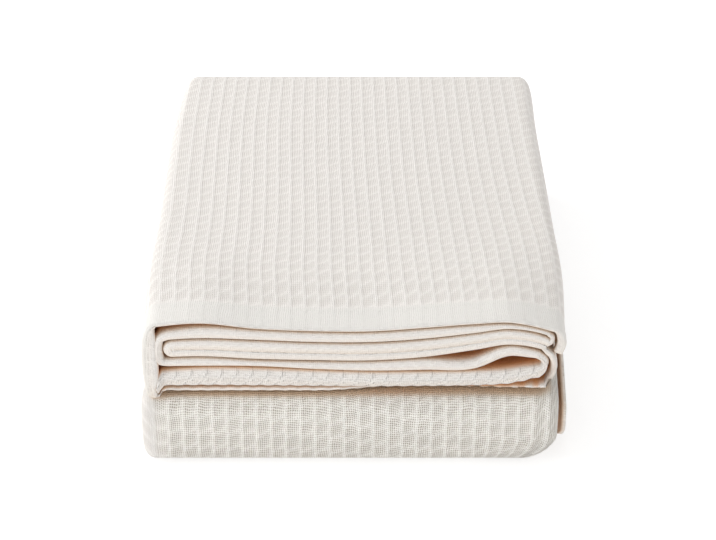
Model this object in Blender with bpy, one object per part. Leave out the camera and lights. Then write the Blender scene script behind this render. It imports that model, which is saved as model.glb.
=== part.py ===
"""A waffle weave cotton blanket, folded into a neat stack and lying flat.

One length of cloth is folded across its width into a strip of seven layers, one inside the
other, and the strip is then folded twice along its length, so that three strips lie on each
other.  The hemmed end of the top strip lies at the front, above the fold of the two below.

Metres, +Z up.  The origin is under the middle of the stack, on the surface it lies on.
"""

import math

import bpy
import numpy as np

# ---- driving dimensions, in metres ----
STACK_DEPTH = 0.465
CLOTH = 0.0032
HEM_THICKNESS = 0.0058
HEM_DEPTH = 0.034
FOLD_CLEARANCE = 0.0007
FRONT_STRIP = 0.0288
BACK_STRIP = 0.0350
BACK_TURN_HEIGHT = 0.0835
FRONT_SQUARENESS = 4.4
BACK_SQUARENESS = 2.2
UNEVEN_DEPTH = 0.150
LIP_SETTLE_DEPTH = 0.060
LIP_EDGE = 0.004

# ---- how finely the solid is drawn ----
RUN_STATIONS = (0.0, 0.14, 0.30, 0.47, 0.63, 0.77, 0.88, 0.95, 1.0)
TURN_STEPS = 8

COTTON_COLOUR = (0.80, 0.77, 0.72, 1.0)
COTTON_ROUGHNESS = 0.92

MM = 0.001
LAYERS = 7
FRONT = -STACK_DEPTH / 2
FRONT_TURN_START = FRONT + FRONT_STRIP + FOLD_CLEARANCE
BACK_TURN_START = -FRONT - BACK_STRIP - FOLD_CLEARANCE

# The seven layers of a strip, counted from its lowest one up, in the order in which the
# cloth runs: from the side hem inside the strip, out and round, to the side hem on top.
LAYER_ORDER = (1, 2, 5, 4, 3, 0, 6)

# The folds along the strip's sides, in that order: how far the middle of the cloth reaches,
# the length of the round end, how square it is, its lip's thickness and its steps.
SIDE_FOLDS = (
    # reach, length, squareness, lip, steps
    (+0.1365, 0.0060, 2.0, 0.0056, 3),
    (-0.1400, 0.0080, 2.3, 0.0054, 4),
    (+0.1405, 0.0050, 2.0, 0.0042, 3),
    (-0.1335, 0.0050, 2.0, 0.0058, 3),
    (+0.1432, 0.0090, 2.3, 0.0052, 4),
    (-0.1487, 0.0080, 2.3, 0.0062, 6),
)
INNER_HEM = -0.1380
OUTER_HEM = 0.1505
OUTER_HEM_DROP = 0.42
OUTER_HEM_BEND = 0.0085
OUTER_HEM_STEPS = 4

# The hem lips at the front, in millimetres: the height of each layer's underside, across
# the stack.  The cloth is pushed up in two low waves, with a hollow near the right side.
LIP_BOTTOMS = (
    # x,  layer 0,    1,    2,    3,     4,     5,     6
    (-150, 61.0, 66.0, 84.0, 91.0, 99.0, 105.0, 116.0),
    (-110, 60.5, 67.0, 84.5, 92.5, 100.0, 107.5, 120.0),
    (-70, 60.5, 66.5, 84.5, 90.2, 98.0, 106.2, 115.6),
    (-30, 60.5, 65.8, 82.0, 89.2, 96.7, 104.4, 113.7),
    (10, 60.3, 65.2, 80.4, 88.9, 96.5, 104.3, 113.5),
    (50, 60.5, 65.8, 81.0, 92.0, 99.5, 107.3, 116.5),
    (85, 61.0, 66.8, 82.2, 98.0, 105.0, 112.0, 119.5),
    (110, 61.5, 69.5, 92.5, 102.5, 109.2, 115.6, 120.6),
    (128, 62.0, 74.0, 91.0, 100.3, 107.0, 113.4, 117.2),
    (145, 63.0, 78.0, 89.0, 94.0, 101.0, 107.5, 112.0),
)
# How thick each layer's lip is there, in millimetres.
LIP_THICKNESSES = (
    # x, layer 0,   1,   2,   3,   4,   5,   6
    (-150, 4.0, 13.0, 5.6, 6.2, 5.2, 5.0, 5.0),
    (-110, 4.5, 15.8, 7.0, 6.6, 6.6, 7.5, 4.6),
    (-70, 4.8, 16.0, 4.8, 6.9, 7.3, 8.2, 4.6),
    (-30, 4.5, 15.0, 6.2, 6.8, 7.0, 8.3, 4.6),
    (10, 4.2, 14.2, 7.6, 6.8, 7.0, 8.2, 4.6),
    (50, 4.5, 13.9, 9.0, 6.8, 7.0, 8.2, 4.6),
    (85, 4.8, 13.4, 7.5, 6.3, 6.3, 6.5, 4.6),
    (110, 5.2, 11.5, 8.6, 5.5, 5.6, 4.2, 4.6),
    (128, 5.2, 10.0, 7.0, 4.7, 5.0, 3.4, 4.6),
    (145, 5.0, 8.0, 4.2, 4.6, 4.2, 3.8, 4.6),
)
# How far each layer's lip lies behind the front of the stack, in millimetres.
LIP_SETBACKS = (7.0, 2.5, 3.5, 6.0, 3.5, 4.5, 5.0)

# The heights of the strips, in millimetres, by the distance behind the front.
STACK_PROFILE = (
    # behind front, top of bottom strip, top of middle strip, base and top of top strip
    (28, 28.8, 59.0, 60.8, 120.0),
    (60, 31.0, 62.5, 64.0, 126.5),
    (90, 32.5, 65.5, 67.0, 127.0),
    (130, 34.0, 69.0, 70.3, 124.5),
    (180, 35.0, 72.0, 73.2, 121.5),
    (250, 36.0, 75.0, 76.2, 120.5),
    (340, 38.0, 78.5, 79.7, 120.0),
    (428, 45.5, 82.8, 84.2, 119.2),
)

# How much wider than a strip's section each part of the stack is, by that distance.
WIDTHS = (
    # behind front, top strip's left and right, the other strips' left and right
    (0, 1.024, 1.006, 1.064, 1.030),
    (40, 1.042, 1.020, 1.058, 1.042),
    (90, 1.054, 1.036, 1.050, 1.058),
    (160, 1.056, 1.038, 1.044, 1.060),
    (260, 1.064, 1.040, 1.040, 1.048),
    (350, 1.064, 1.040, 1.034, 1.036),
    (440, 1.030, 1.046, 1.022, 1.028),
    (465, 1.006, 1.036, 1.012, 1.014),
)
# The lower right corner of the big front fold is round: how far the corner is drawn in at
# the bottom, how high and how far behind the front that goes, and where it starts.
CORNER_INSET = 0.020
CORNER_HEIGHT = 0.022
CORNER_DEPTH = 0.080
CORNER_FROM = 0.088
CORNER_WIDTH = 0.058
CORNER_CURVE = 1.5

# The places of the sections along each strip, in millimetres from its hem or the front.
LIP_EDGE_SHARES = ((0.0, 0.45), (1.5, 0.82), (4.0, 1.0))
TOP_STRIP_PLACES = (0, 1.5, 4, 12, 24, 34, 52, 76, 108, 150, 220, 320)
MIDDLE_STRIP_PLACES = (320, 220, 120, 60)
BOTTOM_STRIP_PLACES = (70, 160, 260, 360)
BACK_HEM_PLACES = (34, 12, 4, 1.5, 0)
BACK_HEM_SETBACK = 9.0


def column(table, index):
    """One column of a table of rows."""
    return [row[index] for row in table]


def along(table, index, at):
    """Reads a column of a table at a value of its first column, on a smooth line."""
    at = np.asarray(at, dtype=float)
    knots = np.array(column(table, 0), dtype=float)
    values = np.array(column(table, index), dtype=float)
    slopes = np.gradient(values, knots)
    span = np.clip(np.searchsorted(knots, at) - 1, 0, len(knots) - 2)
    width = knots[span + 1] - knots[span]
    part = np.clip((at - knots[span]) / width, 0.0, 1.0)
    ease = part * part * (3 - 2 * part)
    start = part * (1 - part) ** 2 * width * slopes[span]
    end = part * part * (part - 1) * width * slopes[span + 1]
    return values[span] * (1 - ease) + values[span + 1] * ease + start + end


def fade(at, length):
    """One at zero and nothing from length on, with no corner."""
    part = np.clip(at / length, 0.0, 1.0)
    return 1 - part * part * (3 - 2 * part)


def lip_edge(from_lip):
    """The rounding of a hem's very edge, as a share of its thickness."""
    if from_lip >= LIP_EDGE:
        return 1.0
    return float(along(LIP_EDGE_SHARES, 1, from_lip / MM))


class EvenSection:
    """A station of the strip where its seven layers lie evenly on each other."""

    def __init__(self, strip, cloth=CLOTH):
        self.strip = strip
        self.cloth = cloth
        self.pitch = (strip - cloth) / (LAYERS - 1)

    def height(self, layer, x):
        return self.cloth / 2 + layer * self.pitch + 0 * x

    def thickness(self, layer, x):
        return self.cloth + 0 * x

    def fold_thickness(self, lip):
        return self.cloth


class FrontSection(EvenSection):
    """A station of the top strip near its hem, where each layer keeps its own waves."""

    def __init__(self, strip, base, from_lip):
        super().__init__(strip)
        self.base = base
        self.waves = fade(from_lip, UNEVEN_DEPTH)
        self.lip = fade(from_lip, LIP_SETTLE_DEPTH)
        self.hem = fade(from_lip - LIP_EDGE, HEM_DEPTH - LIP_EDGE)
        self.edge = lip_edge(from_lip)

    def height(self, layer, x):
        lips = lip_middle(layer, x)
        mean = lip_middle(layer, np.array(column(LIP_BOTTOMS, 0)) * MM).mean()
        even = super().height(layer, x)
        return (mean - self.base) * self.lip + even * (1 - self.lip) + (lips - mean) * self.waves

    def thickness(self, layer, x):
        lip = across_lips(LIP_THICKNESSES, layer, x)
        return (CLOTH + (lip - CLOTH) * self.hem) * self.edge

    def fold_thickness(self, lip):
        return (CLOTH + (lip - CLOTH) * self.hem) * self.edge


def across_lips(table, layer, x):
    """Reads a table of the hem lips for one layer at x."""
    return along(table, layer + 1, np.clip(x / MM, table[0][0], table[-1][0])) * MM


def lip_middle(layer, x):
    """The height of the middle of a layer's lip."""
    return across_lips(LIP_BOTTOMS, layer, x) + across_lips(LIP_THICKNESSES, layer, x) / 2


def fold_ends(section, index):
    """The two heights that a side fold joins, and the length of its round end."""
    reach, length = SIDE_FOLDS[index][:2]
    first, second = LAYER_ORDER[index], LAYER_ORDER[index + 1]
    start = float(section.height(first, np.array(reach)))
    end = float(section.height(second, np.array(reach)))
    return start, end, min(length, 0.55 * abs(end - start))


def side_fold(section, index):
    """The middle line of a side fold between the two layers that it joins."""
    reach, _, squareness, lip, steps = SIDE_FOLDS[index]
    start, end, length = fold_ends(section, index)
    turn = np.linspace(-math.pi / 2, math.pi / 2, steps + 2)[1:-1]
    out = np.abs(np.cos(turn)) ** (2 / squareness)
    rise = np.sign(turn) * np.abs(np.sin(turn)) ** (2 / squareness)
    x = reach - math.copysign(length, reach) * (1 - out)
    height = (start + end) / 2 + (end - start) / 2 * rise
    return np.column_stack([x, height, np.full(steps, section.fold_thickness(lip))])


def layer_run(section, layer, start, end):
    """The middle line of one layer, from one side to the other."""
    x = min(start, end) + abs(end - start) * np.array(RUN_STATIONS)
    x = x if start < end else x[::-1]
    return np.column_stack([x, section.height(layer, x), section.thickness(layer, x)])


def drooping_hem(start, strip):
    """The side hem of the outermost layer, bent down over the side of the strip."""
    x, height, thickness = start
    turn = np.linspace(0, math.pi / 2, OUTER_HEM_STEPS + 1)[1:]
    out = OUTER_HEM_BEND * np.sin(turn)
    drop = OUTER_HEM_DROP * strip * (1 - np.cos(turn))
    return np.column_stack([x + out, height - drop, np.full(OUTER_HEM_STEPS, thickness)])


def strip_outline(section):
    """The closed outline of the folded strip, as x and height above the strip's base."""
    pieces = []
    start = INNER_HEM
    for index, layer in enumerate(LAYER_ORDER[:-1]):
        reach = SIDE_FOLDS[index][0]
        end = reach - math.copysign(fold_ends(section, index)[2], reach)
        pieces.append(layer_run(section, layer, start, end))
        pieces.append(side_fold(section, index))
        start = end
    outer = layer_run(section, LAYER_ORDER[-1], start, OUTER_HEM - OUTER_HEM_BEND)
    line = np.vstack(pieces + [outer, drooping_hem(outer[-1], section.strip)])
    ahead = np.gradient(line[:, :2], axis=0)
    ahead /= np.linalg.norm(ahead, axis=1)[:, None]
    side = np.column_stack([-ahead[:, 1], ahead[:, 0]]) * line[:, 2:] / 2
    return np.vstack([line[:, :2] + side, (line[:, :2] - side)[::-1]])


def stack_height(index, distance):
    """A height from the stack's profile, at a distance behind its front."""
    return float(along(STACK_PROFILE, index, distance / MM)) * MM


def widened(x, distance, first_column):
    """Spreads a section sideways, as much as the stack is wider there."""
    left = along(WIDTHS, first_column, distance / MM)
    right = along(WIDTHS, first_column + 1, distance / MM)
    return x * np.where(x < 0, left, right)


def corner(x, distance, height):
    """How far the round lower right corner draws a point in towards the middle."""
    low = np.clip(1 - height / CORNER_HEIGHT, 0, 1) ** CORNER_CURVE
    across = np.clip((x - CORNER_FROM) / CORNER_WIDTH, 0, 1)
    return CORNER_INSET * low * across * fade(distance, CORNER_DEPTH)


def ring(outline, distance, height, first_column=3):
    """An outline as points in space, at a distance behind the front."""
    distance = distance + 0 * outline[:, 0]
    x = widened(outline[:, 0], distance, first_column)
    x = x - corner(x, distance, height)
    return np.column_stack([x, FRONT + distance, height])


def top_strip():
    """From the hem at the front to the start of the back turn."""
    rings = []
    for place in TOP_STRIP_PLACES:
        distance = place * MM
        base = stack_height(3, distance)
        strip = stack_height(4, distance) - base
        outline = strip_outline(FrontSection(strip, base, distance))
        layer = np.clip(outline[:, 1] / strip, 0, 1) * (LAYERS - 1)
        setback = np.interp(layer, range(LAYERS), LIP_SETBACKS) * MM
        behind = distance + setback * fade(distance, UNEVEN_DEPTH)
        rings.append(ring(outline, behind, base + outline[:, 1], first_column=1))
    return rings


def half_turn(strip, start, height, outward, squareness, first_column):
    """Half a turn of the whole strip.  The back turn goes round the strip's base, and the
    front turn round its top, so that the same side of the cloth stays out."""
    outline = strip_outline(EvenSection(strip))
    from_core = outline[:, 1] if outward > 0 else strip - outline[:, 1]
    radius = FOLD_CLEARANCE + from_core
    rings = []
    for step in range(TURN_STEPS + 1):
        turn = math.pi * step / TURN_STEPS
        out = abs(math.sin(turn)) ** (2 / squareness)
        rise = math.copysign(abs(math.cos(turn)) ** (2 / squareness), math.cos(turn))
        distance = start + outward * radius * out - FRONT
        rings.append(ring(outline, distance, height + radius * rise, first_column))
    return rings


def middle_strip():
    """From the back turn to the front turn, with the strip the other way up."""
    rings = []
    for place in MIDDLE_STRIP_PLACES:
        distance = place * MM
        low = stack_height(1, distance) + 2 * FOLD_CLEARANCE
        high = stack_height(2, distance)
        outline = strip_outline(EvenSection(high - low))
        rings.append(ring(outline, distance, high - outline[:, 1]))
    return rings


def bottom_strip():
    """From the front turn to the hem at the back, flat on its outer layer."""
    rings = []
    for place in BOTTOM_STRIP_PLACES:
        outline = strip_outline(EvenSection(stack_height(1, place * MM)))
        rings.append(ring(outline, place * MM, outline[:, 1]))
    for place in BACK_HEM_PLACES:
        from_lip = place * MM
        distance = STACK_DEPTH - BACK_HEM_SETBACK * MM - from_lip
        hem = fade(from_lip - LIP_EDGE, HEM_DEPTH - LIP_EDGE)
        cloth = (CLOTH + (HEM_THICKNESS - CLOTH) * hem) * lip_edge(from_lip)
        outline = strip_outline(EvenSection(stack_height(1, distance), cloth))
        rings.append(ring(outline, distance, outline[:, 1]))
    return rings


def folded_cloth():
    """All the rings of the cloth, from its front hem to its back hem."""
    back = half_turn(BACK_STRIP, BACK_TURN_START, BACK_TURN_HEIGHT, 1, BACK_SQUARENESS, 1)
    front_height = FRONT_STRIP + FOLD_CLEARANCE
    front = half_turn(FRONT_STRIP, FRONT_TURN_START, front_height, -1, FRONT_SQUARENESS, 3)
    return top_strip() + back + middle_strip() + front + bottom_strip()


def loft(name, rings):
    """One closed skin over all the rings, with a cap across the cloth at each hemmed end."""
    count = len(rings[0])
    faces = []
    for step in range(len(rings) - 1):
        for point in range(count):
            here = step * count + point
            beside = step * count + (point + 1) % count
            faces.append((here, beside, beside + count, here + count))
    last = (len(rings) - 1) * count
    for point in range(count // 2 - 1):
        across = count - 1 - point
        faces.append((point, across, across - 1, point + 1))
        faces.append((last + point, last + point + 1, last + across - 1, last + across))
    mesh = bpy.data.meshes.new(name)
    mesh.from_pydata(np.vstack(rings).tolist(), [], faces)
    mesh.validate()
    return mesh


def cotton():
    """Ivory cotton, matt."""
    material = bpy.data.materials.new("ivory_cotton")
    material.use_nodes = True
    surface = material.node_tree.nodes["Principled BSDF"]
    surface.inputs["Base Color"].default_value = COTTON_COLOUR
    surface.inputs["Roughness"].default_value = COTTON_ROUGHNESS
    surface.inputs["Metallic"].default_value = 0.0
    return material


def main():
    for old in list(bpy.data.objects):
        bpy.data.objects.remove(old)
    collection = bpy.data.collections.new("waffle_weave_cotton_blanket")
    bpy.context.scene.collection.children.link(collection)
    mesh = loft("blanket", folded_cloth())
    mesh.shade_smooth()
    mesh.materials.append(cotton())
    blanket = bpy.data.objects.new("blanket", mesh)
    collection.objects.link(blanket)


main()
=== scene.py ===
# %% [markdown]
# # A waffle weave cotton blanket, folded into a stack
#
# The real object is one length of ivory cotton, woven in large waffle cells and hemmed all
# round.  It is folded across its width into a strip of seven layers, and that strip is
# folded twice along its length.  What shows is the ribbed top, the hem of each layer at the
# front, and the big soft fold of the two strips below.
#
# A cloth simulation could drape such a blanket, but its folds are pressed and lie in a
# certain order, so here they are drawn from sizes that are given.  The cells load the
# frame, draw the folded cloth as one closed sheet, press the waffle into it, give it a cotton
# finish with a row of stitches, and light it.

# %% Load the frame
import math

import bpy
import numpy as np
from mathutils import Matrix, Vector


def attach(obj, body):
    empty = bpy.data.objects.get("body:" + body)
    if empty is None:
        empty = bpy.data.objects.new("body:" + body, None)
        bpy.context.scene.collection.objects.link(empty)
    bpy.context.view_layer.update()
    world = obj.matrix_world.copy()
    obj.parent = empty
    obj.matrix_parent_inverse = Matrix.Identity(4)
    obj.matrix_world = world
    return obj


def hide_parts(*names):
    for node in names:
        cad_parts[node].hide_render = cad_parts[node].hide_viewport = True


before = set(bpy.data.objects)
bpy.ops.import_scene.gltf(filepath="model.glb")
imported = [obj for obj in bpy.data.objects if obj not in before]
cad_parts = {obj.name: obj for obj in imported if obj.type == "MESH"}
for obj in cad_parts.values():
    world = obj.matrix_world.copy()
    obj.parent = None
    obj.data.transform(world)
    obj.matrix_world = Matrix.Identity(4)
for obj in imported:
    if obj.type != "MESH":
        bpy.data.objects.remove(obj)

for name in ("Cube", "Light", "Camera"):
    if name in bpy.data.objects:
        bpy.data.objects.remove(bpy.data.objects[name])
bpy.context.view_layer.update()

# %% [markdown]
# ## The sizes of the folded stack
#
# A maker would lay the blanket down and measure it.  These are the solid's own sizes, so
# the cloth that is drawn here takes the same room, only with softer edges and finer waves.

# %% Sizes of the stack
MM = 0.001
STACK_DEPTH = 0.465
CLOTH = 0.0032
HEM_THICKNESS = 0.0058
HEM_DEPTH = 0.034
FOLD_CLEARANCE = 0.0007
# How thick the strip is where it turns at the front and at the back.
FRONT_STRIP = 0.0288
BACK_STRIP = 0.0350
LAYERS = 7
FRONT = -STACK_DEPTH / 2
print("the stack is", STACK_DEPTH, "m deep, in", LAYERS, "layers and 3 strips")

# %% [markdown]
# ## How the layers are folded
#
# The cloth goes to and fro, but not simply from the top down: some layers are tucked in
# between others.  The real folds are pressed, so each is a tight turn, and no two turns
# reach equally far.  A table with a row for each fold keeps such a stack uneven.

# %% Side folds
# The layers of a strip from its lowest one up, in the order in which the cloth runs.
LAYER_ORDER = (1, 2, 5, 4, 3, 0, 6)
SIDE_FOLDS = (
    # reach, length, squareness, lip
    (+0.1365, 0.0060, 2.0, 0.0056),
    (-0.1395, 0.0070, 3.2, 0.0064),
    (+0.1405, 0.0050, 2.0, 0.0042),
    (-0.1335, 0.0050, 2.0, 0.0058),
    (+0.1432, 0.0090, 2.3, 0.0052),
    (-0.1487, 0.0080, 2.3, 0.0062),
)
# Where the cloth's two side hems lie.  The outer one hangs over the side of the strip, by
# this share of its height.
INNER_HEM = -0.1422
OUTER_HEM = 0.1505
OUTER_HEM_DROP = 0.42
OUTER_HEM_BEND = 0.0085
print(len(SIDE_FOLDS), "side folds join", len(LAYER_ORDER), "layers")

# %% [markdown]
# ## The lips of the layers
#
# Each layer ends at the front in a thick hem, and the stack shows these lips in wavy
# lines.  The tables give each lip at ten places from left to right.

# %% Lips of the layers
# The waves and the thick hems die out over these distances behind the front.
UNEVEN_DEPTH = 0.150
LIP_SETTLE_DEPTH = 0.060
# The underside of each layer's hem lip, in millimetres, across the stack.
LIP_BOTTOMS = (
    # x,  layer 0,    1,    2,    3,     4,     5,     6
    (-150, 61.0, 66.0, 84.0, 91.0, 99.0, 105.0, 116.0),
    (-110, 60.5, 67.0, 84.5, 92.5, 100.0, 107.5, 120.0),
    (-70, 60.5, 66.5, 84.5, 90.2, 98.0, 106.2, 115.6),
    (-30, 60.5, 65.8, 82.0, 89.2, 96.7, 104.4, 113.7),
    (10, 60.3, 65.2, 80.4, 88.9, 96.5, 104.3, 113.5),
    (50, 60.5, 65.8, 81.0, 92.0, 99.5, 107.3, 116.5),
    (85, 61.0, 66.8, 82.2, 98.0, 105.0, 112.0, 119.5),
    (110, 61.5, 69.5, 92.5, 102.5, 109.2, 115.6, 120.6),
    (128, 62.0, 74.0, 91.0, 100.3, 107.0, 113.4, 117.2),
    (145, 63.0, 78.0, 89.0, 94.0, 101.0, 107.5, 112.0),
)
LIP_THICKNESSES = (
    # x, layer 0,   1,   2,   3,   4,   5,   6
    (-150, 4.0, 13.0, 5.6, 6.2, 5.2, 5.0, 5.0),
    (-110, 4.5, 15.8, 7.0, 6.6, 6.6, 8.9, 4.6),
    (-70, 4.8, 16.0, 4.8, 6.9, 7.3, 8.2, 4.6),
    (-30, 4.5, 15.0, 6.2, 6.8, 7.0, 8.3, 4.6),
    (10, 4.2, 14.2, 7.6, 6.8, 7.0, 8.2, 4.6),
    (50, 4.5, 13.9, 9.0, 6.8, 7.0, 8.2, 4.6),
    (85, 4.8, 13.4, 7.5, 6.3, 6.3, 6.5, 4.6),
    (110, 5.2, 11.5, 8.6, 5.5, 5.6, 4.2, 4.6),
    (128, 5.2, 10.0, 7.0, 4.7, 5.0, 3.4, 4.6),
    (145, 5.0, 8.0, 4.2, 4.6, 4.2, 3.8, 4.6),
)
print("the lips are given at", len(LIP_BOTTOMS), "places")

# %% [markdown]
# ## The stack from front to back
#
# The strips are not level: the thick hems lift the front of the top strip, and behind
# them it sinks.  The stack is also a little wider in places.

# %% Heights and widths of the stack
STACK_PROFILE = (
    # behind front, top of bottom strip, top of middle strip, base and top of top strip
    (28, 28.8, 59.0, 60.8, 120.0),
    (60, 31.0, 62.5, 64.0, 126.5),
    (90, 32.5, 65.5, 67.0, 127.0),
    (130, 34.0, 69.0, 70.3, 124.5),
    (180, 35.0, 72.0, 73.2, 121.5),
    (250, 36.0, 75.0, 76.2, 120.5),
    (340, 38.0, 78.5, 79.7, 120.0),
    (428, 45.5, 82.8, 84.2, 119.2),
)
WIDTHS = (
    # behind front, top strip's left and right, the other strips' left and right
    (0, 1.024, 1.006, 1.064, 1.030),
    (40, 1.042, 1.020, 1.058, 1.042),
    (90, 1.054, 1.036, 1.050, 1.058),
    (160, 1.056, 1.038, 1.044, 1.060),
    (260, 1.064, 1.040, 1.040, 1.048),
    (350, 1.064, 1.040, 1.034, 1.036),
    (440, 1.030, 1.046, 1.022, 1.028),
    (465, 1.006, 1.036, 1.012, 1.014),
)
print("heights at", len(STACK_PROFILE), "and widths at", len(WIDTHS), "distances")

# %% [markdown]
# ## The sizes of the weave
#
# A waffle cell is a shallow basin between ribs.  Its ribs run from the front of the stack
# to the back, and wander a little, because the cloth was not folded quite straight.  The
# table gives that wandering in cells.

# %% Sizes of the weave
CELL = 0.01075
ROW = 0.0134
RIB_WANDER = (
    # behind front, at x = -130, -65, 0, 65 and 130 mm, in cells
    (34, 0.57, 0.48, 0.32, 0.27, 0.06),
    (74, 0.38, 0.23, 0.11, 0.01, -0.14),
    (114, 0.33, 0.22, 0.02, -0.13, -0.22),
    (174, 0.27, 0.11, -0.13, -0.33, -0.45),
    (254, 0.03, -0.11, -0.38, -0.59, -0.75),
    (334, -0.15, -0.36, -0.54, -0.71, -0.89),
    (434, -0.18, -0.38, -0.67, -0.82, -0.97),
)
WANDER_AT = (-130, -65, 0, 65, 130)
print("cells of", CELL * 1000, "by", ROW * 1000, "mm")

# %% [markdown]
# ## Reading the tables
#
# Cloth has no corners in its waves, so a value between two rows of a table is read on a
# smooth line through them.

# %% Smooth tables
def along(table, index, at):
    """Reads a column of a table at a value of its first column, on a smooth line."""
    at = np.asarray(at, dtype=float)
    rows = np.array(table, dtype=float)
    knots, values = rows[:, 0], rows[:, index]
    slopes = np.gradient(values, knots)
    span = np.clip(np.searchsorted(knots, at) - 1, 0, len(knots) - 2)
    width = knots[span + 1] - knots[span]
    part = np.clip((at - knots[span]) / width, 0.0, 1.0)
    ease = part * part * (3 - 2 * part)
    start = part * (1 - part) ** 2 * width * slopes[span]
    end = part * part * (part - 1) * width * slopes[span + 1]
    return values[span] * (1 - ease) + values[span + 1] * ease + start + end


def fade(at, length):
    """One at zero and nothing from length on, with no corner."""
    part = np.clip(np.asarray(at) / length, 0.0, 1.0)
    return 1 - part * part * (3 - 2 * part)


def across_lips(table, layer, x):
    return along(table, layer + 1, np.clip(x / MM, table[0][0], table[-1][0])) * MM


def lip_middle(layer, x):
    return across_lips(LIP_BOTTOMS, layer, x) + across_lips(LIP_THICKNESSES, layer, x) / 2


def stack_height(index, distance):
    return float(along(STACK_PROFILE, index, distance / MM)) * MM


def rib_shift(distance, x):
    """How far the ribs have wandered there, in cells."""
    row = [float(along(RIB_WANDER, k + 1, distance / MM)) for k in range(len(WANDER_AT))]
    return np.interp(x / MM, WANDER_AT, row)


print("the top's crown is at", round(stack_height(4, 0.09) * 1000, 1), "mm")

# %% [markdown]
# ## Round edges
#
# A hem is a roll of cloth, so its edge is round.  Its thickness grows from the very edge
# as the side of a circle does.

# %% Round edges
EDGE_RADIUS = 0.0042
EDGE_LEAST = 0.10


def round_edge(from_edge, radius=EDGE_RADIUS):
    """The share of its thickness that a rolled edge has, this far from its tip."""
    part = np.clip(np.asarray(from_edge, dtype=float) / radius, 0.0, 1.0)
    return np.maximum(np.sqrt(1 - (1 - part) ** 2), EDGE_LEAST)


print("a hem is", round(float(round_edge(0.001)), 2), "of its thickness 1 mm from its edge")

# %% [markdown]
# ## One section across the strip
#
# Cut across, the strip is one line of cloth that runs to and fro through its seven layers.
# A section knows how high each layer lies and how thick the cloth is there.  The plainest
# kind lies flat, and serves everywhere but near the front hem.

# %% An even section
HEM_CURL = 0.0012


class EvenSection:
    """A station of the strip where its seven layers lie evenly on each other."""

    # How the hanging side hem is filled, curls in at its lower edge, and hangs.
    hem_fill, curl, drop = 0.0, HEM_CURL, 1.0

    def __init__(self, strip, cloth=CLOTH):
        self.strip, self.cloth = strip, cloth
        self.pitch = (strip - cloth) / (LAYERS - 1)

    def height(self, layer, x):
        return self.cloth / 2 + layer * self.pitch + 0 * x

    def halves(self, layer, x):
        """How far the cloth's upper and lower sides lie from its middle."""
        half = self.cloth / 2 + 0 * x
        return half, half

    def fold_halves(self, index, out, apart):
        """The same for a side fold: away from the stack's middle, and towards it.  apart is
        half the distance between the two layers that it joins."""
        half = self.cloth / 2 + 0 * out
        return half, half


pitch = round(EvenSection(FRONT_STRIP).pitch * 1000, 2)
print("an even layer is", pitch, "mm above the one below it")

# %% [markdown]
# ## A section near the front hem
#
# There each layer keeps its own waves and ends in a thick hem.  The section blends from the
# tables of the lips, at the front, to an even section further back.

# %% A section near the front hem
# The lips of layers 3 and 4 are one roll, so nothing parts them.
ROLL_UPPER, ROLL_LOWER, ROLL_FOLD = 4, 3, 3
# The outermost fold on the left is filled out towards the lips beside it.
LEFT_WRAP = 5
LEFT_WRAP_FILL = 0.0058
SCALLOP = 0.00045
SCALLOP_SHIFT = 0.3
HEM_END = 0.0035
# At the front the hanging side hem is fuller, curls in more and hangs less far.
FRONT_HEM_FILL = 0.0030
FRONT_CURL_MORE = 0.0028
FRONT_HEM_DEPTH = 0.05
FRONT_DROP_LESS = 0.22
FRONT_DROP_DEPTH = 0.022


class FrontSection(EvenSection):
    """A station of the top strip near its hem, where each layer keeps its own waves."""

    def __init__(self, strip, base, from_lip):
        super().__init__(strip)
        self.base = base
        self.waves = fade(from_lip, UNEVEN_DEPTH)
        self.hem_fill = FRONT_HEM_FILL * fade(from_lip, FRONT_HEM_DEPTH)
        self.curl = HEM_CURL + FRONT_CURL_MORE * fade(from_lip, FRONT_HEM_DEPTH)
        self.drop = 1 - FRONT_DROP_LESS * fade(from_lip, FRONT_DROP_DEPTH)
        self.lip = fade(from_lip, LIP_SETTLE_DEPTH)
        self.hem = fade(from_lip - EDGE_RADIUS, HEM_DEPTH - EDGE_RADIUS)
        self.edge = float(round_edge(from_lip))

    def scallop(self, x):
        """The small waves that the ribs make in a lip's edge."""
        return SCALLOP * self.lip * np.cos(2 * math.pi * (x / CELL + SCALLOP_SHIFT))

    def height(self, layer, x):
        lips = lip_middle(layer, x)
        mean = lip_middle(layer, np.array(LIP_BOTTOMS)[:, 0] * MM).mean()
        even = super().height(layer, x)
        wave = self.scallop(x) if layer == 0 else 0
        lips = (mean - self.base) * self.lip + (lips - mean) * self.waves
        return lips + even * (1 - self.lip) + wave

    def halves(self, layer, x):
        lip = across_lips(LIP_THICKNESSES, layer, x)
        half = (CLOTH + (lip - CLOTH) * self.hem) / 2
        up = down = half * self.edge
        apart = (lip_middle(ROLL_UPPER, x) - lip_middle(ROLL_LOWER, x)) / 2
        if layer == ROLL_UPPER:
            down = half + (apart - half) * self.hem
        if layer == ROLL_LOWER:
            up = half + (apart - half) * self.hem
        if layer == 1:
            end = round_edge(x - INNER_HEM, HEM_END)
            up, down = up * end, (down - self.scallop(x)) * end
        return up, down

    def fold_halves(self, index, out, apart):
        lip = SIDE_FOLDS[index][3]
        full = (CLOTH + (lip - CLOTH) * self.hem) / 2 + 0 * out
        away = towards = full * self.edge
        if index == LEFT_WRAP:
            towards = (full + LEFT_WRAP_FILL * self.hem * out) * math.sqrt(self.edge)
        if index == ROLL_FOLD:
            towards = full + (apart - full) * self.hem
        return away, towards


print("a front section has waves for", UNEVEN_DEPTH, "m behind the front")

# %% [markdown]
# ## The pieces of a section
#
# The line of the cloth is put together from level runs and side folds.  A side fold is half
# of a rounded square, because pressed cloth turns neither in a circle nor in a corner.  Each
# point also gets a place: the number of its piece, and how far along that piece it is.

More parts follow.
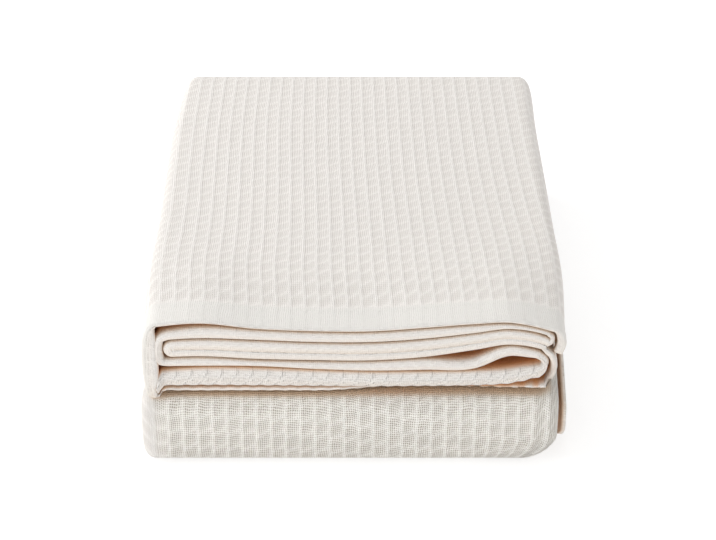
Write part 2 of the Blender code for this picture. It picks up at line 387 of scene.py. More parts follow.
# %% Side folds and runs
THICKNESS_BLEND = 0.4
# A fold is at most this share of its height long, so that a low one stays round.
LONGEST_FOLD = 0.55
# A run's places end just before the next piece's number.
NEARLY_ALL = 0.999


def side_fold(section, index, steps):
    reach, length, squareness = SIDE_FOLDS[index][:3]
    first, second = LAYER_ORDER[index], LAYER_ORDER[index + 1]
    start = float(section.height(first, np.array(reach)))
    end = float(section.height(second, np.array(reach)))
    length = min(length, LONGEST_FOLD * abs(end - start))
    share = np.linspace(0, 1, steps + 2)[1:-1]
    turn = math.pi * (share - 0.5)
    out = np.abs(np.cos(turn)) ** (2 / squareness)
    rise = np.sign(turn) * np.abs(np.sin(turn)) ** (2 / squareness)
    x = reach - math.copysign(length, reach) * (1 - out)
    height = (start + end) / 2 + (end - start) / 2 * rise
    place = 2 * index + 1 + share
    away, towards = section.fold_halves(index, out, abs(end - start) / 2)
    outer_first = (reach < 0) == (end > start)
    one, other = (away, towards) if outer_first else (towards, away)
    # Near its two layers the fold is as thick as they are.
    edge_x = np.array(reach - math.copysign(length, reach))
    for number, near in ((index, share), (index + 1, 1 - share)):
        up, down = section.halves(LAYER_ORDER[number], edge_x)
        first_side, second_side = (up, down) if number % 2 == 0 else (down, up)
        like_layer = fade(near, THICKNESS_BLEND)
        one = one + (first_side - one) * like_layer
        other = other + (second_side - other) * like_layer
    return length, np.column_stack([x, height, one, other, place])


def layer_run(section, number, start, end, shares):
    layer = LAYER_ORDER[number]
    shares = np.asarray(shares)
    x = min(start, end) + abs(end - start) * shares
    place = shares
    if start > end:
        x, place = x[::-1], 1 - shares[::-1]
    up, down = section.halves(layer, x)
    one, other = (down, up) if start > end else (up, down)
    height = section.height(layer, x)
    return np.column_stack([x, height, one, other, 2 * number + place * NEARLY_ALL])


one_fold = side_fold(EvenSection(FRONT_STRIP), 0, 7)[1]
print("the first fold turns", round(1000 * float(np.ptp(one_fold[:, 1])), 1), "mm up")

# %% [markdown]
# ## The line of the cloth in a section
#
# The pieces follow each other in the order in which the cloth goes, and the last one bends
# down as the hanging side hem.  The cloth has two sides, so each point is then moved both
# ways along its own normal, by half of the thickness there.

# %% The centre line and its two sides
def centre_line(section, shares, fold_steps, first=0):
    """The cloth's middle line from the inner side hem to the outer one: x, height, how far
    its two sides are, and place.  first is the number of the first side fold wanted."""
    pieces = []
    start = INNER_HEM
    for index in range(len(SIDE_FOLDS)):
        length, fold = side_fold(section, index, fold_steps)
        end = SIDE_FOLDS[index][0] - math.copysign(length, SIDE_FOLDS[index][0])
        if index > first or first == 0:
            pieces.append(layer_run(section, index, start, end, shares))
        if index >= first:
            pieces.append(fold)
        start = end
    bend_at = OUTER_HEM - OUTER_HEM_BEND
    outer = layer_run(section, LAYERS - 1, start, bend_at, shares)
    share = np.linspace(0, 1, fold_steps + 1)[1:]
    turn = share * math.pi / 2
    hem = np.column_stack([
        bend_at + OUTER_HEM_BEND * np.sin(turn) - section.curl * share ** 5,
        outer[-1, 1] - OUTER_HEM_DROP * section.strip * section.drop * (1 - np.cos(turn)),
        np.full(fold_steps, outer[-1, 2]),
        outer[-1, 3] + section.hem_fill * np.sin(turn),
        2 * LAYERS - 1 + share,
    ])
    return np.vstack(pieces + [outer, hem])


def two_sides(line):
    """The two sides of a cloth line."""
    ahead = np.gradient(line[:, :2], axis=0)
    ahead /= np.linalg.norm(ahead, axis=1)[:, None]
    side = np.column_stack([-ahead[:, 1], ahead[:, 0]])
    return line[:, :2] + side * line[:, 2:3], line[:, :2] - side * line[:, 3:4]


test = centre_line(EvenSection(FRONT_STRIP), np.linspace(0, 1, 9), 4)
print("a section's line has", len(test), "points at this fineness")

# %% [markdown]
# ## Spots on the outer side
#
# The outer side of the cloth is what shows: the right fold, the underside, the left fold,
# the top and the hanging side hem.  Its spots follow the ribs, six to a cell, so that every
# rib keeps a clean crest however it wanders.

# %% Spots of the outer side
CELL_SPOTS = (0.0, 0.12, 0.20, 0.28, 0.37, 0.62)
# On the front fold the ribs lie this many cells to the side.
FRONT_FOLD_RIBS = 0.11
FINE = np.linspace(0, 1, 121)
FINE_FOLD = 24
OUTER_FIRST_FOLD = 4
TOP_CELLS = (-13.25, 13.4)
UNDER_CELLS = (-12.95, 12.5)
FOLD_SPOTS = {"right fold": 7, "left fold": 26, "side hem": 11}
# The under side's middle lies this many cells before the top's middle.
CELLS_BEFORE = -29
# The numbers of their two pieces in the centre line.
UNDER_PIECE, TOP_PIECE = 10, 12


def cell_spots(low, high):
    spots = [k + part for k in range(-15, 16) for part in CELL_SPOTS]
    return np.array([s for s in spots if low <= s <= high])


TOP_SPOTS = cell_spots(*TOP_CELLS)
UNDER_SPOTS = cell_spots(*UNDER_CELLS)[::-1]
OUTER_PARTS = (
    ["right fold"] * FOLD_SPOTS["right fold"]
    + ["under"] * len(UNDER_SPOTS)
    + ["left fold"] * FOLD_SPOTS["left fold"]
    + ["top"] * len(TOP_SPOTS)
    + ["side hem"] * FOLD_SPOTS["side hem"]
)
print(len(OUTER_PARTS), "spots round the outer side")


def outer_side(section, width, shift_top, anchor):
    """The outer side's spots: x and height, and where each is on the weave, in cells.
    anchor is 1 where the fold's weave follows the top, and 0 where the under side."""
    line = centre_line(section, FINE, FINE_FOLD, OUTER_FIRST_FOLD)
    side = two_sides(line)[0]
    run = np.concatenate([[0], np.cumsum(np.linalg.norm(np.diff(side, axis=0), axis=1))])
    piece = np.floor(line[:, 4])
    on_under, on_top = piece == UNDER_PIECE, piece == TOP_PIECE
    under_zero = np.interp(0, side[on_under, 0][::-1], run[on_under][::-1])
    top_zero = np.interp(0, side[on_top, 0], run[on_top])
    under_x = CELL * (UNDER_SPOTS + FRONT_FOLD_RIBS)
    under_x = under_x / np.where(under_x < 0, width[0], width[1])
    top_x = CELL * (TOP_SPOTS + shift_top)
    top_x = top_x / np.where(top_x < 0, width[0], width[1])
    under_at = under_zero - under_x
    top_at = top_zero + top_x
    right = np.linspace(0, under_at[0], FOLD_SPOTS["right fold"] + 1)[:-1]
    left = np.linspace(under_at[-1], top_at[0], FOLD_SPOTS["left fold"] + 2)[1:-1]
    hem = np.linspace(top_at[-1], run[-1], FOLD_SPOTS["side hem"] + 1)[1:]
    at = np.concatenate([right, under_at, left, top_at, hem])
    points = np.column_stack([np.interp(at, run, side[:, k]) for k in range(2)])
    places = np.interp(at, run, line[:, 4])
    under = CELLS_BEFORE - UNDER_SPOTS
    from_under = under[-1] + (left - under_at[-1]) / CELL
    from_top = TOP_SPOTS[0] - (top_at[0] - left) / CELL
    weave = np.concatenate([
        under[0] - (under_at[0] - right) / CELL,
        under,
        from_under * (1 - anchor) + from_top * anchor,
        TOP_SPOTS,
        TOP_SPOTS[-1] + (hem - top_at[-1]) / CELL,
    ])
    return points, weave, run[-1] - at, places


# %% [markdown]
# ## The way of the strip
#
# From its hem at the front, the strip goes back on top, turns down at the back, comes
# forward in the middle, turns down again at the front, and goes back along the bottom.
# Each station of that way has a section, and a rule that puts the section in space.

# %% Stations
BACK_TURN_HEIGHT = 0.0835
FRONT_SQUARENESS = 4.4
BACK_SQUARENESS = 2.2
FRONT_TURN_AT = FRONT_STRIP + FOLD_CLEARANCE
BACK_TURN_AT = STACK_DEPTH - BACK_STRIP - FOLD_CLEARANCE
ROW_STEP = ROW / 5


def spaced(start, end, step):
    return np.linspace(start, end, max(2, int(round(abs(end - start) / step)) + 1))


HEM_PLACES = [0, 0.00015, 0.0006, 0.0014, 0.0026, 0.0042, 0.0062, 0.0085, 0.011]
HEM_PLACES += list(np.arange(0.0137, 0.0405, ROW_STEP))
TOP_PLACES = list(np.arange(HEM_PLACES[-1] + ROW_STEP, BACK_TURN_AT, ROW_STEP))
TURN_STATIONS = 42


def turn_point(turn, square):
    """How far out and how high a point of a half turn of one unit is."""
    out = np.abs(np.sin(turn)) ** (2 / square)
    return out, np.sign(np.cos(turn)) * np.abs(np.cos(turn)) ** (2 / square)


def even_turn(square):
    """Angles of a half turn that lie evenly along it."""
    side = np.linspace(0, 1, 400) ** 3
    turns = np.concatenate([side * math.pi / 4, math.pi / 2 - side[::-1] * math.pi / 4])
    turns = np.unique(np.concatenate([turns, math.pi - turns]))
    out, rise = turn_point(turns, square)
    along_it = np.concatenate([[0], np.cumsum(np.hypot(np.diff(out), np.diff(rise)))])
    return np.interp(np.linspace(0, along_it[-1], TURN_STATIONS + 1), along_it, turns)


STATIONS = (
    [("top", p) for p in HEM_PLACES + TOP_PLACES]
    + [("back", t) for t in even_turn(BACK_SQUARENESS)]
    + [("middle", p) for p in spaced(BACK_TURN_AT - 0.01, FRONT_TURN_AT + 0.008, 2 * ROW_STEP)]
    + [("front", t) for t in even_turn(FRONT_SQUARENESS)]
    + [("bottom", p) for p in spaced(FRONT_TURN_AT + 0.008, 0.415, 2 * ROW_STEP)]
    + [("hem", p) for p in (0.036, 0.026, 0.016, 0.010, 0.0062, 0.0042, 0.0026, 0.0014,
                            0.0006, 0.00015, 0)]
)
REGIONS = np.array([name for name, _ in STATIONS])
HEM_STATIONS = len(HEM_PLACES)
print(len(STATIONS), "stations,", HEM_STATIONS, "of them in the front hem")

# %% [markdown]
# ## Putting a section in its place
#
# A section is drawn flat.  Its rule then lays it down: upright in the top strip, upside
# down in the middle one, and fanned out round a half turn.  In the top strip it also sags
# where the real stack does, because cloth hangs and a solid block would not.

# %% Places of the sections
# How far each layer's hem lies behind the front, in millimetres.
LIP_SETBACKS = (8.5, 2.5, 3.5, 4.2, 4.2, 4.5, 5.0)
BACK_HEM_SETBACK = 9.0
# At the front the left wrap sags into the big fold below it, and lies as far forward.
WRAP_AT = 0.1418
WRAP_WIDTH = 0.0045
WRAP_DEPTH = 0.032
WRAP_HEIGHT = 0.030
WRAP_SAG = 0.0075
WRAP_FORWARD = 0.0048
WRAP_TUCK = 0.008
WRAP_FOOT = 0.001
# From the middle to the right, the lowest lip lies further back, in the shade.
LOW_LIP_BACK = 0.009
LOW_LIP_FROM = -0.030
LOW_LIP_TO = 0.050
LOW_LIP_HEIGHT = 0.0035
LOW_LIP_BLEND = 0.0015
# On its way round the right side fold, the set back fades over this height.
RIGHT_RING_AT = 0.138
RIGHT_RING_BLEND = 0.030


def station(region, place):
    """The section there, its widths, and the rule that puts its points in space."""
    if region in ("back", "front"):
        strip, start, height, out_way, square, column = (
            (BACK_STRIP, BACK_TURN_AT, BACK_TURN_HEIGHT, 1, BACK_SQUARENESS, 1)
            if region == "back"
            else (FRONT_STRIP, FRONT_TURN_AT, FRONT_TURN_AT, -1, FRONT_SQUARENESS, 3)
        )
        out, rise = turn_point(place, square)

        def put(points):
            core = points[:, 1] if out_way > 0 else strip - points[:, 1]
            radius = FOLD_CLEARANCE + core
            return start + out_way * radius * out, height + radius * rise

        return EvenSection(strip), column, start, put
    if region == "top":
        base = stack_height(3, place)
        strip = stack_height(4, place) - base

        def put(points):
            layer = np.clip(points[:, 1] / strip, 0, 1) * (LAYERS - 1)
            setback = np.interp(layer, range(LAYERS), LIP_SETBACKS) * MM
            to_right = 1 - fade(points[:, 0] - LOW_LIP_FROM, LOW_LIP_TO - LOW_LIP_FROM)
            in_ring = points[:, 0] > RIGHT_RING_AT
            blend = np.where(in_ring, RIGHT_RING_BLEND, LOW_LIP_BLEND)
            lowest = fade(points[:, 1] - LOW_LIP_HEIGHT, blend)
            setback = setback + LOW_LIP_BACK * to_right * lowest
            behind = place + setback * fade(place, UNEVEN_DEPTH)
            left = fade(points[:, 0] + WRAP_AT, WRAP_WIDTH) * fade(place, WRAP_DEPTH)
            low = fade(points[:, 1], WRAP_HEIGHT)
            height = base + points[:, 1] - WRAP_SAG * left * low
            bulge = fade(points[:, 1], strip) * (1 - fade(points[:, 1] - WRAP_FOOT, WRAP_TUCK))
            return behind - WRAP_FORWARD * left * bulge, height

        return FrontSection(strip, base, place), 1, place, put
    if region == "middle":
        low = stack_height(1, place) + 2 * FOLD_CLEARANCE
        high = stack_height(2, place)
        section = EvenSection(high - low)
        return section, 3, place, lambda p: (place + 0 * p[:, 0], high - p[:, 1])
    cloth, distance = CLOTH, place
    if region == "hem":
        distance = STACK_DEPTH - BACK_HEM_SETBACK * MM - place
        hem = fade(place - EDGE_RADIUS, HEM_DEPTH - EDGE_RADIUS)
        cloth = (CLOTH + (HEM_THICKNESS - CLOTH) * hem) * float(round_edge(place))
    section = EvenSection(stack_height(1, distance), cloth)
    return section, 3, distance, lambda p: (distance + 0 * p[:, 0], p[:, 1])


print("the top strip starts at", round(stack_height(3, 0.028) * 1000, 1), "mm")

# %% [markdown]
# ## The round corner
#
# The big front fold ends at the right in a soft corner, because nothing fills it there.
# Points low down and far right are drawn in towards the middle.

# %% The round corner
CORNER_INSET = 0.020
CORNER_HEIGHT = 0.022
CORNER_DEPTH = 0.080
CORNER_FROM = 0.088
CORNER_WIDTH = 0.058
CORNER_CURVE = 1.5


def widths_at(distance, column):
    return [float(along(WIDTHS, column + k, distance / MM)) for k in (0, 1)]


def corner(x, behind, height):
    """How far the round lower right corner draws a point in towards the middle."""
    low = np.clip(1 - height / CORNER_HEIGHT, 0, 1) ** CORNER_CURVE
    across = np.clip((x - CORNER_FROM) / CORNER_WIDTH, 0, 1)
    return CORNER_INSET * low * across * fade(behind, CORNER_DEPTH)


print("the corner draws in by up to", CORNER_INSET * 1000, "mm")

# %% [markdown]
# ## All the points
#
# The hidden layers need few points, but where their hems show at the front they need many.
# So the cloth is drawn in two bands, a fine one for the front hem and a sparse one behind.

# %% Points of a band
LIP_SHARES = np.unique(np.concatenate([np.linspace(0, 1, 113), [0.002, 0.005]]))
SPARSE_SHARES = (0.0, 0.14, 0.30, 0.47, 0.63, 0.77, 0.88, 0.95, 1.0)
# The outer side starts at this place in the centre line.
MIDDLE_PIECE = 9.0
# Places go up on the cloth's upper side, and on its lower side down from here.
ROUND = 4 * LAYERS


def band(stations, shares, fold_steps, anchors, steady):
    """Every point of these stations: where it is, its weave, its distance from the side hem,
    its place in the section, how far through the cloth it is, how far round it is, and
    whether its column is on the outer side.  A steady band has the weave of its last station
    all along its inner sides."""
    points, weave, from_hem, places, through, around = [], [], [], [], [], []
    cells = None
    for (region, place), anchor in list(zip(stations, anchors))[::-1]:
        section, column, distance, put = station(region, place)
        width = widths_at(distance, column)
        wander = rib_shift(distance if region == "top" else BACK_TURN_AT, TOP_SPOTS * CELL)
        outer, outer_weave, hem, outer_places = outer_side(section, width, wander, anchor)
        line = centre_line(section, shares, fold_steps)
        upper, lower = two_sides(line)
        inner = line[:, 4] < MIDDLE_PIECE
        flat = np.vstack([upper[inner], outer, lower[::-1]])
        behind, height = put(flat)
        left, right = (along(WIDTHS, column + k, behind / MM) for k in (0, 1))
        x = flat[:, 0] * np.where(flat[:, 0] < 0, left, right)
        x = x - corner(x, behind, height)
        points.append(np.column_stack([x, FRONT + behind, height]))
        if cells is None or not steady:
            steps = np.hypot(np.diff(line[:, 0]), np.diff(line[:, 1]))
            cells = (INNER_HEM + np.concatenate([[0], np.cumsum(steps)])) / CELL
            # Both joints with the outer side's weave are without a jump.
            shift = outer_weave[0] - cells[inner.sum()]
            stretch = np.linspace(0, 1, len(cells)) * (outer_weave[-1] - cells[-1] - shift)
        below = (cells + shift + stretch)[::-1]
        weave.append(np.concatenate([cells[inner] + shift, outer_weave, below]))
        outer_half = np.interp(outer_places, line[:, 4], line[:, 2])
        through.append(np.concatenate([line[inner, 2], outer_half, -line[::-1, 3]]))
        outer_cells = np.interp(outer_places, line[:, 4], cells)
        around.append(np.concatenate([cells[inner], outer_cells, cells[::-1]]))
        from_hem.append(np.concatenate([np.ones(inner.sum()), hem, np.ones(len(lower))]))
        places.append(np.concatenate([line[inner, 4], outer_places, ROUND - line[::-1, 4]]))
    counts = (inner.sum(), len(outer), len(lower))
    outward = np.repeat([0.0, 1.0, 0.0], counts)
    bands = (points, weave, from_hem, places, through, around)
    return [np.array(a[::-1]) for a in bands] + [outward.astype(bool)]


anchors = np.interp(
    np.arange(len(STATIONS)),
    [
        0,
        np.flatnonzero(REGIONS == "middle")[0],
        np.flatnonzero(REGIONS == "front")[0],
        len(STATIONS),
    ],
    [1, 1, 0, 0],
)
in_front, behind = slice(HEM_STATIONS), slice(HEM_STATIONS - 1, None)
front_band = band(STATIONS[in_front], LIP_SHARES, 8, anchors[in_front], True)
back_band = band(STATIONS[behind], SPARSE_SHARES, 4, anchors[behind], False)
print("front band", front_band[0].shape, "and the rest", back_band[0].shape)

# %% [markdown]
# ## How far along the cloth
#
# The weave goes by the cloth's own length and not by the room's, so each line of points
# is measured from the front hem on.

# %% Lengths along the cloth
def lengths(points, start):
    steps = np.linalg.norm(np.diff(points, axis=0), axis=2)
    return np.vstack([start, start + np.cumsum(steps, axis=0)])


front_along = lengths(front_band[0], np.zeros(front_band[0].shape[1]))
start = np.interp(back_band[3][0], front_band[3][-1], front_along[-1])
back_along = lengths(back_band[0], start)
print("the cloth is", round(float(np.median(back_along[-1])), 3), "m long along its strips")

# %% [markdown]
# ## Which points are drawn
#
# Every column of points has its own choice of stations: all of them where it shows, every
# second one on the sides, and only a few where it lies inside the stack.

# %% Choose the points
# Every point, every second one, or every ninth, and every fifth in a turn.
FULL, HALF, FEW = 1, 2, 9
FEW_IN_A_TURN = 5
DETAIL = {
    # part: top strip, back turn, middle strip, front turn, bottom strip
    "top": (FULL, FULL, FEW, FEW, FEW),
    "side hem": (FULL, HALF, HALF, HALF, HALF),
    "left fold": (FULL, HALF, FULL, FULL, FULL),
    "under": (FEW, FEW, FEW, FULL, FEW),
    "right fold": (HALF, HALF, HALF, HALF, HALF),
    "inside": (FEW, FEW, FEW, FEW, FEW),
}
REGION_COLUMN = {"top": 0, "back": 1, "middle": 2, "front": 3, "bottom": 4, "hem": 4}


def chosen(part, regions):
    """True for each station that a column of this part uses."""
    use = np.zeros(len(regions), bool)
    use[[0, -1]] = True
    for k, region in enumerate(regions):
        every = DETAIL[part][REGION_COLUMN[region]]
        if region in ("back", "front") and every == FEW:
            every = FEW_IN_A_TURN
        if region == "hem":
            every = FULL
        use[k] |= k % every == 0
    return use


back_regions = REGIONS[HEM_STATIONS - 1:]
# The stations of the front hem that a column uses where it is less fine.
HEM_CHOICE = [0, 1, 2, 3, 4, 5, 7, 9, 12, HEM_STATIONS - 1]
FINE_AT_THE_HEM = ("top", "side hem", "left fold")


def columns(parts, regions):
    cache = {part: np.flatnonzero(chosen(part, regions)) for part in DETAIL}
    return [cache[part] for part in parts]


def parts_of(outward):
    before = int(np.argmax(outward))
    after = len(outward) - before - len(OUTER_PARTS)
    return ["inside"] * before + OUTER_PARTS + ["inside"] * after


back_columns = columns(parts_of(back_band[-1]), back_regions)
front_columns = [
    np.arange(HEM_STATIONS) if part in FINE_AT_THE_HEM else np.array(HEM_CHOICE)
    for part in parts_of(front_band[-1])
]
for where, chosen_columns in (("front", front_columns), ("rest", back_columns)):
    print("points in the", where + ":", sum(map(len, chosen_columns)))

# %% [markdown]
# ## Knitting the points into faces
#
# Two neighbouring columns with the same stations make a row of four-sided faces.  Where one
# has more stations than the other, triangles fill in between, so the sheet has no holes.

# %% Faces between two rows of points
# A place past every other, for the point that closes a ring.
BEYOND = 99


def zip_rows(first, first_at, second, second_at):
    """Faces between two rows of point numbers, given how far along each point is."""
    faces = []
    a = b = 0
    while a < len(first) - 1 or b < len(second) - 1:
        next_a = first_at[a + 1] if a < len(first) - 1 else np.inf
        next_b = second_at[b + 1] if b < len(second) - 1 else np.inf
        if abs(next_a - next_b) < 1e-9:
            faces.append((first[a], second[b], second[b + 1], first[a + 1]))
            a, b = a + 1, b + 1
        elif next_a < next_b:
            faces.append((first[a], second[b], first[a + 1]))
            a += 1
        else:
            faces.append((first[a], second[b], second[b + 1]))
            b += 1
    return faces


class Sheet:
    """The points that are drawn, and the faces between them."""

    def __init__(self):
        self.points, self.faces, self.marks = [], [], []
        self.count = 0

    def add_band(self, band_points, marks, chosen_columns):
        numbers = -np.ones(band_points.shape[:2], int)
        for column, stations in enumerate(chosen_columns):
            numbers[stations, column] = self.count + np.arange(len(stations))
            self.count += len(stations)
            self.points.append(band_points[stations, column])
            self.marks.append(np.column_stack([m[stations, column] for m in marks]))
        total = len(chosen_columns)
        for column in range(total):
            beside = (column + 1) % total
            one, two = chosen_columns[column], chosen_columns[beside]
            self.faces += zip_rows(numbers[one, column], one, numbers[two, beside], two)
        return numbers

    def add_cap(self, row, places, turned):
        """Closes the end of the cloth, from its upper side across to its lower one."""
        upper = places < ROUND / 2 + 1e-6
        lower = np.flatnonzero(~upper)[::-1]
        upper = np.flatnonzero(upper)
        faces = zip_rows(row[upper], places[upper], row[lower], ROUND - places[lower])
        self.faces += faces if turned else [face[::-1] for face in faces]


def marks_of(whole, run):
    """What each point carries along, in the order in which it is unpacked later."""
    outward = np.tile(whole[-1], (len(whole[0]), 1)).astype(float)
    return [whole[1], run, whole[2], outward, *whole[3:6]]


print("a square of two rows has", len(zip_rows([0, 1], [0, 1], [2, 3], [0, 1])), "face")

# %% [markdown]
# ## Joining the two bands
#
# The fine front band and the sparse band behind meet in one row of points.  They are zipped
# there in the same way, right round the cloth.

# %% The two bands
sheet = Sheet()
front_numbers = sheet.add_band(front_band[0], marks_of(front_band, front_along), front_columns)
# The band behind starts one station later: the zip below joins it to the front one.
behind = [part[1:] for part in back_band[:-1]] + [back_band[-1]]
behind_columns = [stations[stations > 0] - 1 for stations in back_columns]
behind_columns = [s if s[0] == 0 else np.concatenate([[0], s]) for s in behind_columns]
back_numbers = sheet.add_band(behind[0], marks_of(behind, back_along[1:]), behind_columns)
seam_one, seam_two = front_numbers[-1], back_numbers[0]
closed_one = np.append(seam_one, seam_one[0])
closed_two = np.append(seam_two, seam_two[0])
sheet.faces += [
    face[::-1]
    for face in zip_rows(
        closed_one, np.append(front_band[3][-1], BEYOND),
        closed_two, np.append(behind[3][0], BEYOND),
    )
]
print(len(sheet.faces), "faces so far, from", sheet.count, "points")

# %% [markdown]
# ## The folded sheet
#
# The faces become one closed mesh.  The weave coordinates go along with it, so that the
# yarns and the stitches follow the cloth wherever it turns.

# %% The cloth as a mesh
sheet.add_cap(front_numbers[0], front_band[3][0], True)
sheet.add_cap(back_numbers[-1], back_band[3][-1], False)
sheet_points = np.vstack(sheet.points)
sheet_marks = np.vstack(sheet.marks)
used = np.unique(np.concatenate([np.array(face) for face in sheet.faces]))
renumber = -np.ones(sheet.count, int)
renumber[used] = np.arange(len(used))
mesh = bpy.data.meshes.new("blanket_cloth")
mesh.from_pydata(
    sheet_points[used].tolist(), [], [[int(renumber[p]) for p in face] for face in sheet.faces]
)
mesh.validate()
cloth = bpy.data.objects.new("blanket_cloth", mesh)
bpy.context.scene.collection.objects.link(cloth)
weave, run, from_side_hem, outward, place_marks, through, around = sheet_marks[used].T
mesh.shade_smooth()
triangles = sum(len(face.vertices) - 2 for face in mesh.polygons)
print("the cloth has", len(mesh.vertices), "points and", triangles, "triangles")

# %% [markdown]
# ## The shape of a waffle cell
#
# A cell is a basin whose walls rise to the ribs.  On the real cloth the yarns float longer
# at the ribs and lie flat in the basin.  Two short profiles, one across a cell and one along
# it, describe that shape, and the finish reads them again later.

# %% The shape of a cell
RELIEF = 0.00044
PLAIN_HEM = 0.027
# How high the cloth stands above the basin's floor, from one rib's crest to the next.
RIB_PROFILE = ((0, 0.92), (0.10, 1), (0.17, 0.86), (0.23, 0.48), (0.30, 0.06), (0.36, 0.02),
               (0.46, 0.26), (0.62, 0.46), (0.80, 0.74), (1, 0.92))
# The same from one row to the next, from the front to the back.
ROW_PROFILE = ((0, 0.92), (0.10, 0.80), (0.30, 0.22), (0.48, 0.02), (0.72, 0.0), (0.88, 0.40),
               (1, 0.92))
# A turned hem is plain, with faint slanting ripples where the ribs of its two layers cross.
HEM_RIPPLE = 0.00030
# The share of the basin that comes in rows.  The rest runs on beside the ribs.
ROW_SHARE = 0.45
RIB_WALL = 0.22
# The rows lean: from one rib to the next they climb by this share of a row.
ROW_LEAN = 0.55
LEAN_START = 0.2
# On the front fold the rows slope down to the right by this much.
FRONT_ROW_SLOPE = 0.041


def cyclic(profile, at):
    knots, heights = np.array(profile, float).T
    return np.interp(at % 1.0, knots, heights)


def basin(cells, rows):
    """How deep the basin is there, as a share of the relief."""
    leaning = rows - ROW_LEAN * (cells % 1.0 - LEAN_START)
    across_it = 1 - cyclic(RIB_PROFILE, cells)
    in_rows = np.minimum(across_it / RIB_WALL, 1) * (1 - cyclic(ROW_PROFILE, leaning))
    return across_it * (1 - ROW_SHARE) + in_rows * ROW_SHARE


print("a cell's middle is", round(RELIEF * float(basin(0.34, 0.7)) * 1000, 2), "mm deep")

# %% [markdown]
# ## Pressing the cells into the cloth
#
# Every point moves inward along its own normal, by as much as the basin is deep there.
# The hems are turned double, so they are nearly plain.  A waffle also flattens where a fold
# stretches it, on the side folds and on the front one.

# %% The waffle
SIDE_HEM = 0.014
HEM_FLATTENS = 0.48
SIDE_FLATTENS = 0.5
FRONT_FLATTENS = 0.6
RIPPLE_SLANT = 1.3
HALF_THE_BLEND = 0.1
# From the middle of the middle strip on, the same side of the cloth shows the other way up.
turned_at = float(np.median(back_along[np.flatnonzero(back_regions == "middle")].mean(0)))
front_share = 1 - fade(run - turned_at + HALF_THE_BLEND, 2 * HALF_THE_BLEND)
across = sheet_points[used][:, 0]
run_there = run - front_share * FRONT_ROW_SLOPE * across
way = np.where(run > turned_at, -1.0, 1.0)
plain = 1 - HEM_FLATTENS * fade(run - PLAIN_HEM, 0.006)
plain *= 1 - HEM_FLATTENS * fade(from_side_hem - SIDE_HEM, 0.004)
side_share = np.clip((TOP_SPOTS[0] + 1.0 - weave) / 1.5, 0, 1) * (1 - front_share) * outward
depth = RELIEF * basin(way * weave, way * run_there / ROW) * plain * outward
depth *= (1 - SIDE_FLATTENS * side_share) * (1 - FRONT_FLATTENS * front_share)
ripple = 0.5 + 0.5 * np.sin(2 * math.pi * (weave - RIPPLE_SLANT * run / ROW))
depth += HEM_RIPPLE * ripple * outward * fade(run - PLAIN_HEM, 0.003) * (1 - fade(run, 0.006))
normals = np.zeros(len(mesh.vertices) * 3)
mesh.vertex_normals.foreach_get("vector", normals)
normals = normals.reshape(-1, 3)
points = sheet_points[used] - normals * depth[:, None]
mesh.vertices.foreach_set("co", points.ravel())
mesh.update()
print("the deepest basin is", round(float(depth.max()) * 1000, 2), "mm deep")

# %% [markdown]
# ## Weave coordinates
#
# One map of the cloth, in metres of its own width and length, carries every pattern.  It
# could be unwrapped by an operator, but every point knows its place on the weave already,
# and so no yarn is stretched or cut.

# %% The weave map
layer = mesh.uv_layers.new(name="weave")
corners = np.zeros(len(mesh.loops), int)
mesh.loops.foreach_get("vertex_index", corners)
face_starts = np.array([face.loop_start for face in mesh.polygons])
face_sizes = np.array([face.loop_total for face in mesh.polygons])
face_way = np.where(np.add.reduceat(run[corners], face_starts) / face_sizes > turned_at, -1, 1)
corner_way = np.repeat(face_way, face_sizes)[:, None]
flat = np.column_stack([weave * CELL, run_there])[corners] * corner_way
# A lip's front face is seen square on, so its pattern goes through the cloth there.
in_lip = np.maximum.reduceat(run[corners], face_starts) < 1e-6
corner_in_lip = np.repeat(in_lip, face_sizes)
flat[corner_in_lip] = np.column_stack([around * CELL, through])[corners[corner_in_lip]]
layer.data.foreach_set("uv", flat.ravel())
print("mapped", len(corners), "corners")

# %% [markdown]
# ## Marks for the finish
#
# Some things change over the cloth: its lips are seen edge on, its hems are plain, and deep
# between the layers and under the lips' edges a warm shade is painted in.  Each is a mark, a
# number on every point, and the finish reads it by its name.

# %% Marks for the finish
LIP_SLANT = -0.45
SLANT_REACH = 0.008
LIP_STARTS, LIP_FADES = 0.003, 0.011
# The second layer shows its cells most clearly, and the others this share of them.
CLEAREST_LAYER = 1
OTHER_LIPS = 0.6
HIDDEN_FROM, HIDDEN_OVER = 0.0055, 0.008
FRONT_LEFT, FRONT_LEFT_BLEND = -0.151, 0.012
# How far back from a lip's edge the painted warm shade on downward faces reaches.
RIM_SHADE_DEPTH = 0.005


def mark(name, values):
    mesh.attributes.new(name, "FLOAT", "POINT").data.foreach_set("value", values)


inner_side = 1 - outward
number = np.floor(np.minimum(place_marks, ROUND - place_marks) / 2).astype(int)
of_layer = np.array(LAYER_ORDER)[np.clip(number, 0, LAYERS - 1)]
lip = fade(run - LIP_STARTS, LIP_FADES) * inner_side
lip = lip * np.where(of_layer == CLEAREST_LAYER, 1.0, OTHER_LIPS)
lip_side = np.clip(through + np.sign(through) * run, -SLANT_REACH, SLANT_REACH)
hidden = np.clip((run - HIDDEN_FROM) / HIDDEN_OVER, 0, 1) * (1 - 0.6 * (run > 0.1))
facing = np.zeros(len(mesh.vertices) * 3)
mesh.vertex_normals.foreach_get("vector", facing)
downwards = np.clip(0.3 - facing.reshape(-1, 3)[:, 2], 0, 1)
in_front = np.clip((across - FRONT_LEFT) / FRONT_LEFT_BLEND, 0, 1)
# Painted shade: the inner layers, lying between the others, get a warm colour.
mark("hidden", hidden * inner_side)
mark("plain", np.clip(1 - plain * outward - lip, 0, 1))
mark("lip", lip)
mark("slant", LIP_SLANT * lip_side / CELL * inner_side)
